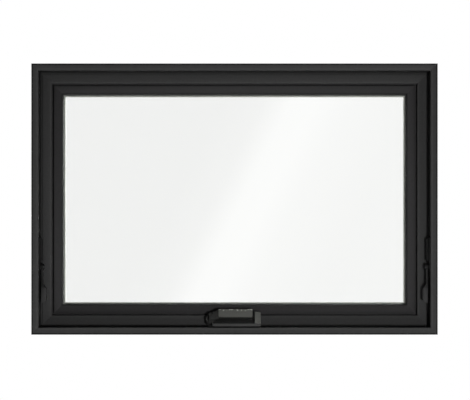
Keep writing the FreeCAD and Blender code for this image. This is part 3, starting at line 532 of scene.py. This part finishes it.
def rolled_stainless():
    """Rolled stainless strip of the hinges: long fine scratches along the strip."""
    return scored_metal("rolled_stainless_strip", (1.0, 1.0, 0.02), 1800.0, "#7e7e7c", "#a2a29e",
                        rough_low=0.34, rough_high=0.50)


def float_glass():
    """Clear soda-lime float glass, fire polished: flat, with a trace of green.

    Light for what lies behind it passes straight through, a tenth dimmer at each face.
    """
    material, tree, shader = new_finish("clear_float_glass")
    shader.inputs["Base Color"].default_value = GLASS_SHARES
    shader.inputs["Roughness"].default_value = 0.0
    shader.inputs["IOR"].default_value = 1.52
    shader.inputs["Transmission Weight"].default_value = 1.0
    path = add(tree, "LightPath")
    passed = add(tree, "BsdfTransparent", None, {"Color": linear("#f3f5f3")})
    mix = add(
        tree,
        "MixShader",
        {0: path.outputs["Is Shadow Ray"], 1: shader.outputs["BSDF"], 2: passed.outputs["BSDF"]},
    )
    output = next(node for node in tree.nodes if node.type == "OUTPUT_MATERIAL")
    tree.links.new(mix.outputs["Shader"], output.inputs["Surface"])
    return material


def tooled_sealant():
    """Silicone sealant of the glazing line, tooled smooth: dark grey with a dull sheen."""
    return grained_finish("tooled_grey_silicone", "#4a4a48", "#565653", spacing_mm=1.2, bump=0.1,
                          rough_low=0.5, rough_high=0.62, ior=1.41)[0]


def foam_spacer():
    """Silicone foam spacer of the sealed unit: chalky grey with an even, open grain."""
    return grained_finish("silicone_foam_spacer", "#b0b0ac", "#c2c2be", spacing_mm=0.8, bump=0.4,
                          rough_low=0.75, rough_high=0.9, ior=1.43)[0]


# Painted light and shade across the composite members, by the distance in from the
# window's outer edge: painted shade on the outer arris and a painted highlight on the
# inner half of the frame, painted shade at the root behind the frame's lip and lighter
# towards the stop's nose, and painted shade at the gap and at the glass on the sash
composite_frame = extruded_composite(
    "extruded_composite_frame",
    [(0.0, "#2e2e2e"), (0.2, "#0c0c0c"), (3.2, "#0c0c0c"), (4.2, "#333333"), (9.0, "#343434"),
     (11.5, "#3c3c3c"), (16.5, "#3c3c3c")],
    wall_shade_share=0.10,
)
composite_stop = extruded_composite(
    "extruded_composite_stop",
    [(0.0, "#101010"), (17.4, "#101010"), (18.4, "#282828"), (22.0, "#292929"), (27.0, "#2d2d2d"),
     (33.0, "#303030"), (37.5, "#353535"), (40.0, "#3d3d3d"), (42.0, "#3d3d3d")],
)
composite_sash = extruded_composite(
    "extruded_composite_sash",
    [(0.0, "#2c2b2c"), (44.5, "#2c2b2c"), (45.5, "#1f1f1f"), (48.5, "#282728"), (55.0, "#2d2c2d"),
     (62.5, "#2e2d2e"), (63.8, "#1e1d1e"), (67.0, "#1e1d1e")],
)
bead_pvc = extruded_pvc()
rubber = extruded_rubber()
cover_abs = moulded_abs()
crank_zinc = coated_zinc("powder_coated_zinc_crank", "#2e2e2d", "#363635", "#42423f", specular=0.2)
grip_zinc = grip_coat()
catch_zinc = coated_zinc("powder_coated_zinc_catch", "#5a5b57", "#656662", "#9c9c96",
                         wear_mm=1.6, patch_mm=4.2)
lever_zinc = lever_coat()
base_zinc = coated_zinc("powder_coated_zinc_base", "#0e0e0e", "#161616", "#2c2c2b", specular=0.12)
steel = turned_steel()
black_steel = blackened_steel()
stainless = rolled_stainless()
glass = float_glass()
spacer_foam = foam_spacer()
silicone = tooled_sealant()

# Which finish each slot of the record takes, and the few nodes that differ from their slot
SLOT_FINISH = {
    "frame": composite_frame,
    "stop": composite_stop,
    "sash": composite_sash,
    "bead": bead_pvc,
    "weatherstrip": rubber,
    "glass": glass,
    "spacer": spacer_foam,
    "operator_cover": cover_abs,
    "crank": crank_zinc,
    "grip": grip_zinc,
    "lock": lever_zinc,
    "pin": steel,
    "hinge": stainless,
}
NODE_FINISH = {
    "crank_catch": catch_zinc,
    "lock_base_left": base_zinc,
    "lock_base_right": base_zinc,
    "lock_pin_left": black_steel,
    "lock_pin_right": black_steel,
    "crank_pin": black_steel,
}


def dress_nodes():
    """Finish each solid by its slot, and take the sharpness off its edges."""
    slots = {entry["node"]: entry["material_slot"] for entry in frame["record"]["subparts"]}
    for name, piece in frame["nodes"].items():
        slot = slots[name]
        piece.data.materials.clear()
        piece.data.materials.append(NODE_FINISH.get(name, SLOT_FINISH[slot]))
        if slot not in ("glass", "spacer", "weatherstrip"):
            soften(piece, EDGE_BEVEL)


def soften(piece, width):
    """Small rounded edges, so that arrises and mitres catch the light."""
    for face in piece.data.polygons:
        face.use_smooth = True
    weld = piece.modifiers.new("join_corners", "WELD")
    weld.merge_threshold = SAME_POINT
    bevel = piece.modifiers.new("round_edges", "BEVEL")
    bevel.width = width
    bevel.segments = BEVEL_SEGMENTS
    bevel.limit_method = "ANGLE"
    bevel.angle_limit = math.radians(BEVEL_ABOVE_DEGREES)
    bevel.harden_normals = True


# Mesh makers for the small pieces

def mesh_piece(name, vertices, faces, material, smooth=True, body="window_frame"):
    """A mesh object that rides on a body and takes the finish it is given."""
    mesh = bpy.data.meshes.new(name)
    mesh.from_pydata([tuple(v) for v in vertices], [], faces)
    builder = bmesh.new()
    builder.from_mesh(mesh)
    bmesh.ops.remove_doubles(builder, verts=builder.verts, dist=SAME_SMALL_POINT)
    bmesh.ops.recalc_face_normals(builder, faces=builder.faces)
    builder.to_mesh(mesh)
    builder.free()
    for face in mesh.polygons:
        face.use_smooth = smooth
    piece = bpy.data.objects.new(name, mesh)
    bpy.context.scene.collection.objects.link(piece)
    mesh.materials.append(material)
    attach(piece, body)
    return piece


def mitred_loop(name, section, material):
    """A closed strip round the window. Section points are (inset from the edge, y)."""
    vertices = []
    for side_x, side_z in ((-1, -1), (1, -1), (1, 1), (-1, 1)):
        for inset, y in section:
            x = side_x * (FRAME_WIDTH / 2.0 - inset)
            z = MIDDLE.z + side_z * (FRAME_HEIGHT / 2.0 - inset)
            vertices.append((x, y, z))
    count = len(section)
    faces = []
    for corner in range(4):
        start = corner * count
        following = ((corner + 1) % 4) * count
        for i in range(count):
            j = (i + 1) % count
            faces.append((start + i, start + j, following + j, following + i))
    return mesh_piece(name, vertices, faces, material, smooth=False)


def turned_shape(rings, segments):
    """Vertices and faces of a closed turned shape. Rings are (radius, height) about Z."""
    vertices = [(0.0, 0.0, rings[0][1])]
    for radius, height in rings:
        for step in range(segments):
            angle = 2.0 * math.pi * step / segments
            vertices.append((radius * math.cos(angle), radius * math.sin(angle), height))
    vertices.append((0.0, 0.0, rings[-1][1]))
    faces = []
    last = len(vertices) - 1
    top = 1 + (len(rings) - 1) * segments
    for step in range(segments):
        following = (step + 1) % segments
        faces.append((0, 1 + following, 1 + step))
        faces.append((last, top + step, top + following))
        for ring in range(len(rings) - 1):
            base = 1 + ring * segments
            faces.append((base + step, base + following,
                          base + segments + following, base + segments + step))
    return vertices, faces


def screw_head_shape(radius, height, segments=48, rings=14):
    """A domed screw head with a cross recess pressed into it."""
    arm_half = 0.13 * radius
    arm_reach = 0.56 * radius
    recess = 0.45 * height
    recess_slope = 2.2
    rim_share = 0.93
    vertices = []
    for ring in range(rings + 1):
        share = ring / rings
        for step in range(segments):
            angle = 2.0 * math.pi * step / segments
            x = radius * share * math.cos(angle)
            y = radius * share * math.sin(angle)
            across = min(abs(x), abs(y)) / arm_half
            along = max(abs(x), abs(y)) / arm_reach
            inside = max(0.0, 1.0 - max(across, along))
            dome = height * math.sqrt(1.0 - (rim_share * share) ** 2)
            vertices.append((x, y, dome - recess * min(1.0, recess_slope * inside)))
    for step in range(segments):
        angle = 2.0 * math.pi * step / segments
        vertices.append((radius * math.cos(angle), radius * math.sin(angle), 0.0))
    faces = []
    for ring in range(rings + 1):
        base = ring * segments
        for step in range(segments):
            following = (step + 1) % segments
            faces.append((base + step, base + following,
                          base + segments + following, base + segments + step))
    bottom = (rings + 1) * segments
    faces.append(tuple(bottom + step for step in range(segments)))
    return vertices, faces


def rivet_shape(radius, height, segments=28, steps=6):
    """A plain domed rivet head."""
    smallest = 0.02
    rings = [(radius, 0.0)]
    for step in range(1, steps + 1):
        angle = 0.5 * math.pi * step / steps
        rings.append((radius * max(smallest, math.cos(angle)), height * math.sin(angle)))
    return turned_shape(rings, segments)


def heads(name, shape, spots, twisted, material):
    """One joined piece of like heads at the spots, each (origin, direction)."""
    shape_vertices, shape_faces = shape
    vertices, faces = [], []
    for origin, direction in spots:
        twist = random.uniform(0.0, math.pi / 2.0) if twisted else 0.0
        turn = Vector(direction).to_track_quat("Z", "Y").to_matrix().to_4x4()
        move = Matrix.Translation(Vector(origin)) @ turn @ Matrix.Rotation(twist, 4, "Z")
        start = len(vertices)
        vertices += [move @ Vector(v) for v in shape_vertices]
        faces += [tuple(start + i for i in face) for face in shape_faces]
    return mesh_piece(name, vertices, faces, material)


# Pieces of the window that the solids leave out

def glazing_sealant():
    """The sealant bead in the corner between the sash and the glass, on the room side."""
    glass_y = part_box("glass_inner")[0].y - OFF_THE_GLASS
    edge_y = glass_y + OFF_THE_GLASS - SEALANT_DEPTH
    knee_y = glass_y + OFF_THE_GLASS - SEALANT_KNEE_DEPTH * SEALANT_DEPTH
    section = [
        (SIGHT_INSET - TUCKED_IN, edge_y),
        (SIGHT_INSET + SEALANT_STEP, edge_y),
        (SIGHT_INSET + SEALANT_KNEE_OUT * SEALANT_FOOT, knee_y),
        (SIGHT_INSET + SEALANT_FOOT, glass_y),
        (SIGHT_INSET - TUCKED_IN, glass_y),
    ]
    mitred_loop("glazing_sealant", section, silicone)


def weather_gasket():
    """The rubber lip between the glazing beads and the outer pane."""
    glass_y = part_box("glass_outer")[1].y
    section = [
        (SIGHT_INSET - TUCKED_IN, glass_y + OFF_THE_GLASS),
        (SIGHT_INSET + GASKET_LIP, glass_y + OFF_THE_GLASS),
        (SIGHT_INSET + 0.5 * GASKET_LIP, glass_y + GASKET_PROUD),
        (SIGHT_INSET - TUCKED_IN, glass_y + GASKET_PROUD),
    ]
    mitred_loop("glazing_seal_weather", section, rubber)


def jamb_screws():
    """Pan heads of the installation screws, seated over the holes in the jambs."""
    for mount in frame["record"]["mounts"]:
        if not mount["name"].startswith("jamb_screws"):
            continue
        side_name = mount["name"].split("_")[-1]
        side = 1 if side_name == "right" else -1
        spacing = mount["dims"]["spacing_y_mm"] * MM
        x = side * (FRAME_WIDTH / 2.0 - WALL_INSET)
        place = Vector((x, mount["pos_m"][1], mount["pos_m"][2]))
        spots = [(place + Vector((0.0, 0.0, share * spacing)), (-side, 0, 0)) for share in (-0.5, 0.5)]
        heads("jamb_screw_heads_" + side_name, screw_head_shape(*JAMB_SCREW), spots, True,
              black_steel)


def lock_screws():
    """Two screws on each lock's housing."""
    for side_name, side in (("left", -1), ("right", 1)):
        low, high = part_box("lock_base_" + side_name)
        pin_low, pin_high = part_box("lock_pin_" + side_name)
        x = low.x if side > 0 else high.x
        y = (pin_low.y + pin_high.y) / 2.0
        spots = []
        for share in LOCK_SCREW_SHARES:
            z = low.z + share * (high.z - low.z)
            spots.append(((x, y, z), (-side, 0, 0)))
        heads("lock_screws_" + side_name, screw_head_shape(*LOCK_SCREW), spots, True,
              black_steel)


def hinge_rivets():
    """A domed rivet head where each link meets its track."""
    for side_name, side in (("left", -1), ("right", 1)):
        low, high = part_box("hinge_link_" + side_name)
        radius = (high.y - low.y) / 2.0
        x = low.x if side > 0 else high.x
        spots = [((x, (low.y + high.y) / 2.0, low.z + radius), (-side, 0, 0))]
        heads("hinge_rivets_" + side_name, rivet_shape(*HINGE_RIVET), spots, False, steel)


def weep_louvres():
    """Small sloping blades in the two drain slots of the sill."""
    weather_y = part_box("frame_sill")[1].y
    inner_y = weather_y - LOUVRE_INNER
    outer_y = weather_y - LOUVRE_OUTER
    blade_faces = ((0, 1, 3, 2), (4, 5, 7, 6), (0, 2, 6, 4), (1, 3, 7, 5), (0, 1, 5, 4), (2, 3, 7, 6))
    for side_name, side in (("left", -1), ("right", 1)):
        middle = side * (FRAME_WIDTH / 2.0 - WEEP_FROM_END)
        vertices, faces = [], []
        for step in range(LOUVRE_COUNT):
            z = WEEP_RISE + WEEP_HEIGHT * (step + 1.0) / (LOUVRE_COUNT + 1.0)
            start = len(vertices)
            for rise in (0.0, LOUVRE_THICKNESS):
                for x in (middle - LOUVRE_HALF_LENGTH, middle + LOUVRE_HALF_LENGTH):
                    vertices.append((x, inner_y, z + 0.5 * LOUVRE_FALL + rise))
                    vertices.append((x, outer_y, z - 0.5 * LOUVRE_FALL + rise))
            faces += [tuple(start + i for i in face) for face in blade_faces]
        mesh_piece("weep_louvre_" + side_name, vertices, faces, bead_pvc, smooth=False)


dress_nodes()
glazing_sealant()
weather_gasket()
jamb_screws()
lock_screws()
hinge_rivets()
weep_louvres()


# Camera, room and light

# Floor: radius, height, colour, and the shares of its radius between which it fades out
FLOOR_RADIUS = 1.7
FLOOR_LEVEL = -0.6
FLOOR_WHITE = "#efefef"
FLOOR_FADE = (0.45, 0.97)

# Card behind the camera: its size, how far off it stands, how its band leans, and the
# brightness across its middle two metres, as (share of the way, brightness)
CARD_SIZE = (4.4, 3.4)
CARD_DISTANCE = 3.9
CARD_LEAN = 0.5
CARD_BAND = [(0.33, 0.21), (0.43, 0.34), (0.50, 0.80), (0.56, 0.84), (0.64, 0.62), (0.80, 0.46)]

# Strength of the plain light from all round
AMBIENT = 0.025

# Soft lights: name, place and width in metres, power in watts
LAMPS = [
    ("key_right", (0.85, -3.45, -0.27), 0.24, 67.0),
    ("fill_left", (-2.4, -2.2, 1.5), 1.8, 3.5),
    ("weather_side", (1.1, 3.2, 1.5), 0.8, 75.0),
    ("beside_left", (-3.0, 0.12, 0.9), 0.15, 36.0),
    ("beside_right", (3.0, 0.12, 0.9), 0.15, 36.0),
    ("overhead", (0.0, 0.12, 3.2), 0.15, 28.0),
]


def build_camera():
    """The photograph's square-on view: its scale is set by the frame's outer edges."""
    metres_per_px = FRAME_WIDTH / (WINDOW_RIGHT_PX - WINDOW_LEFT_PX)
    middle_px = (WINDOW_LEFT_PX + WINDOW_RIGHT_PX) / 2.0
    x = (PHOTO_WIDTH_PX / 2.0 - middle_px) * metres_per_px
    z = frame_low.z + (WINDOW_BOTTOM_PX - PHOTO_HEIGHT_PX / 2.0) * metres_per_px
    view_width = PHOTO_WIDTH_PX * metres_per_px
    lens = bpy.data.cameras.new("photo_camera")
    lens.sensor_width = SENSOR_WIDTH_MM
    lens.lens = SENSOR_WIDTH_MM * CAMERA_DISTANCE / view_width
    lens.shift_y = (z - CAMERA_HEIGHT) / view_width
    lens.clip_end = CLIP_END
    camera = bpy.data.objects.new("photo_camera", lens)
    camera.location = (x, ROOM_Y - CAMERA_DISTANCE, CAMERA_HEIGHT)
    camera.rotation_euler = (math.pi / 2.0, 0.0, 0.0)
    bpy.context.scene.collection.objects.link(camera)
    bpy.context.scene.camera = camera


def seen_rays(tree):
    """1 for rays that show the background: from the camera, or through glass."""
    path = add(tree, "LightPath")
    seen = add(
        tree,
        "Math",
        {0: path.outputs["Is Camera Ray"], 1: path.outputs["Is Transmission Ray"]},
        operation="MAXIMUM",
    )
    return seen.outputs[0]


def build_world():
    """White where it is seen, a plain grey light where it only lights."""
    world = bpy.data.worlds.new("plain_white_room")
    world.use_nodes = True
    tree = world.node_tree
    tree.nodes.clear()
    strength = add(tree, "MapRange", {"Value": seen_rays(tree)}, {"To Min": AMBIENT, "To Max": 1.0})
    back = add(tree, "Background", {"Strength": strength.outputs["Result"]}, {"Color": grey(1.0)})
    add(tree, "OutputWorld", {"Surface": back.outputs["Background"]})
    bpy.context.scene.world = world


def stage_object(name, mesh, place, material_name):
    """A floor or card with an empty material, riding on no body of the window."""
    item = bpy.data.objects.new(name, mesh)
    item.location = place
    bpy.context.scene.collection.objects.link(item)
    material = bpy.data.materials.new(material_name)
    material.use_nodes = True
    material.node_tree.nodes.clear()
    mesh.materials.append(material)
    return item, material.node_tree


def build_floor():
    """A pale round floor below the window, which fades into the white at its rim.

    Its underside is clear, so that it hides nothing from below.
    """
    mesh = bpy.data.meshes.new("pale_floor")
    builder = bmesh.new()
    bmesh.ops.create_circle(builder, cap_ends=True, segments=96, radius=FLOOR_RADIUS)
    builder.to_mesh(mesh)
    builder.free()
    floor, tree = stage_object("pale_floor", mesh, (0.0, 0.0, FLOOR_LEVEL), "matte_white_floor")
    matte = add(tree, "BsdfDiffuse", None, {"Color": linear(FLOOR_WHITE)})
    white = add(tree, "Emission", None, {"Strength": 1.0})
    place = add(tree, "TexCoord")
    distance = add(tree, "VectorMath", {0: place.outputs["Object"]}, operation="LENGTH")
    fade = add(
        tree,
        "MapRange",
        {"Value": distance.outputs["Value"]},
        {"From Min": FLOOR_FADE[0] * FLOOR_RADIUS, "From Max": FLOOR_FADE[1] * FLOOR_RADIUS},
        interpolation_type="SMOOTHSTEP",
    )
    share = add(tree, "Math", {0: fade.outputs["Result"], 1: seen_rays(tree)}, operation="MULTIPLY")
    mix = add(
        tree,
        "MixShader",
        {0: share.outputs[0], 1: matte.outputs["BSDF"], 2: white.outputs["Emission"]},
    )
    side = add(tree, "NewGeometry")
    clear = add(tree, "BsdfTransparent")
    from_below = add(
        tree,
        "MixShader",
        {0: side.outputs["Backfacing"], 1: mix.outputs["Shader"], 2: clear.outputs["BSDF"]},
    )
    add(tree, "OutputMaterial", {"Surface": from_below.outputs["Shader"]})


def build_light_card():
    """A dim card behind the camera with one soft bright band, which the glass mirrors."""
    half_w = CARD_SIZE[0] / 2.0
    half_h = CARD_SIZE[1] / 2.0
    corners = [(-half_w, 0, -half_h), (half_w, 0, -half_h), (half_w, 0, half_h), (-half_w, 0, half_h)]
    mesh = bpy.data.meshes.new("light_card")
    mesh.from_pydata(corners, [], [(0, 1, 2, 3)])
    place = (0.0, -CARD_DISTANCE, MIDDLE.z)
    card, tree = stage_object("light_card", mesh, place, "dim_card_with_band")
    card.visible_camera = False
    card.visible_diffuse = False
    card.visible_shadow = False
    axes = add(tree, "SeparateXYZ", {"Vector": add(tree, "TexCoord").outputs["Object"]})
    lean = add(tree, "Math", {0: axes.outputs["Z"]}, {1: CARD_LEAN}, operation="MULTIPLY")
    across = add(tree, "Math", {0: axes.outputs["X"], 1: lean.outputs[0]}, operation="SUBTRACT")
    share = add(tree, "MapRange", {"Value": across.outputs[0]}, {"From Min": -1.0, "From Max": 1.0})
    band = add(tree, "ValToRGB", {"Fac": share.outputs["Result"]},
               stops=[(at, grey(level)) for at, level in CARD_BAND])
    glow = add(tree, "Emission", {"Color": band.outputs["Color"]}, {"Strength": 1.0})
    clear = add(tree, "BsdfTransparent")
    path = add(tree, "LightPath")
    mirrored = add(tree, "Math", {0: path.outputs["Glossy Depth"]}, {1: 0.5},
                   operation="GREATER_THAN")
    mix = add(
        tree,
        "MixShader",
        {0: mirrored.outputs[0], 1: clear.outputs["BSDF"], 2: glow.outputs["Emission"]},
    )
    add(tree, "OutputMaterial", {"Surface": mix.outputs["Shader"]})


def area_light(name, place, size, power):
    """A square soft light turned towards the window's middle."""
    light = bpy.data.lights.new(name, "AREA")
    light.size = size
    light.energy = power
    lamp = bpy.data.objects.new(name, light)
    lamp.location = place
    lamp.rotation_euler = (MIDDLE - Vector(place)).to_track_quat("-Z", "Y").to_euler()
    bpy.context.scene.collection.objects.link(lamp)


build_camera()
build_world()
build_floor()
build_light_card()
for lamp in LAMPS:
    area_light(*lamp)
bpy.context.scene.view_settings.view_transform = "Standard"
